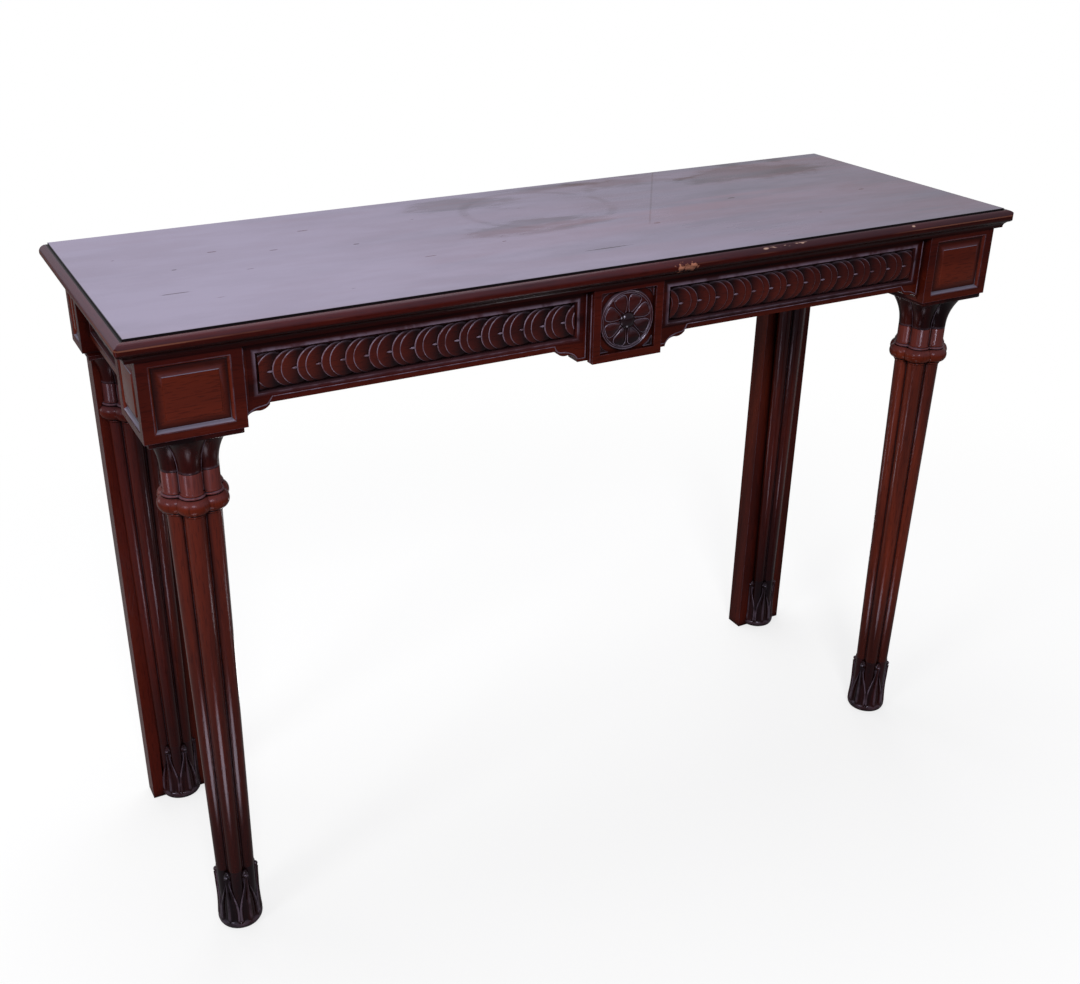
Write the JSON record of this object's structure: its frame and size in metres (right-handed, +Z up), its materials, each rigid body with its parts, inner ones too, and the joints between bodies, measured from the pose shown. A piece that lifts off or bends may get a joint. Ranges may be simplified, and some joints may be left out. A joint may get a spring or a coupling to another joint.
{
  "type": "pier table",
  "caption": "Long narrow mahogany pier table with a moulded top, coin-carved frieze, fielded corner blocks and clustered column legs with leaf feet.",
  "frame": {"origin": "on the floor, under the centre of the overall box", "axes": "+X along the length, -Y is the carved front, +Z up"},
  "size_m": [1.221, 0.415, 0.83],
  "materials": {
    "polished_top": "dulled French polish with scuffs",
    "polished_mahogany": "French-polished mahogany, glossy",
    "turned_mahogany": "French-polished mahogany, glossy, worn lighter on the rounds",
    "carved_mahogany": "polished mahogany, darker in the carving",
    "unpolished_mahogany": "unpolished secondary wood, stained",
    "unpolished_pine": "raw pine, aged",
    "screw_steel": "dull steel"
  },
  "bodies": {
    "root": {"back_rail": "unpolished_mahogany", "block_panel_end_front_left": "polished_mahogany", "block_panel_end_front_right": "polished_mahogany", "block_panel_end_rear_left": "polished_mahogany", "block_panel_end_rear_right": "polished_mahogany", "block_panel_front_left": "polished_mahogany", "block_panel_front_right": "polished_mahogany", "centre_tablet": "polished_mahogany", "corner_block_front_left": "polished_mahogany", "corner_block_front_right": "polished_mahogany", "corner_block_rear_left": "polished_mahogany", "corner_block_rear_right": "polished_mahogany", "end_carving_left": "carved_mahogany", "end_carving_right": "carved_mahogany", "end_frame_left": "polished_mahogany", "end_frame_right": "polished_mahogany", "end_rail_left": "polished_mahogany", "end_rail_right": "polished_mahogany", "frieze_carving_left": "carved_mahogany", "frieze_carving_right": "carved_mahogany", "frieze_frame_left": "polished_mahogany", "frieze_frame_right": "polished_mahogany", "front_rail": "polished_mahogany", "glue_blocks": "unpolished_pine", "leg_capital_front_left": "turned_mahogany", "leg_capital_front_right": "turned_mahogany", "leg_capital_rear_left": "turned_mahogany", "leg_capital_rear_right": "turned_mahogany", "leg_collar_front_left": "turned_mahogany", "leg_collar_front_right": "turned_mahogany", "leg_collar_rear_left": "turned_mahogany", "leg_collar_rear_right": "turned_mahogany", "leg_foot_front_left": "carved_mahogany", "leg_foot_front_right": "carved_mahogany", "leg_foot_rear_left": "carved_mahogany", "leg_foot_rear_right": "carved_mahogany", "leg_shaft_front_left": "turned_mahogany", "leg_shaft_front_right": "turned_mahogany", "leg_shaft_rear_left": "turned_mahogany", "leg_shaft_rear_right": "turned_mahogany", "rail_bracket_centre": "polished_mahogany", "rail_bracket_left": "polished_mahogany", "rail_bracket_right": "polished_mahogany", "rear_leg_screws": "screw_steel", "rear_pilaster_left": "polished_mahogany", "rear_pilaster_right": "polished_mahogany", "rosette": "carved_mahogany", "rosette_boss": "carved_mahogany", "top_board": "polished_top", "top_moulding_front": "polished_mahogany", "top_moulding_left": "polished_mahogany", "top_moulding_right": "polished_mahogany", "top_screws": "screw_steel"}
  },
  "joints": []
}
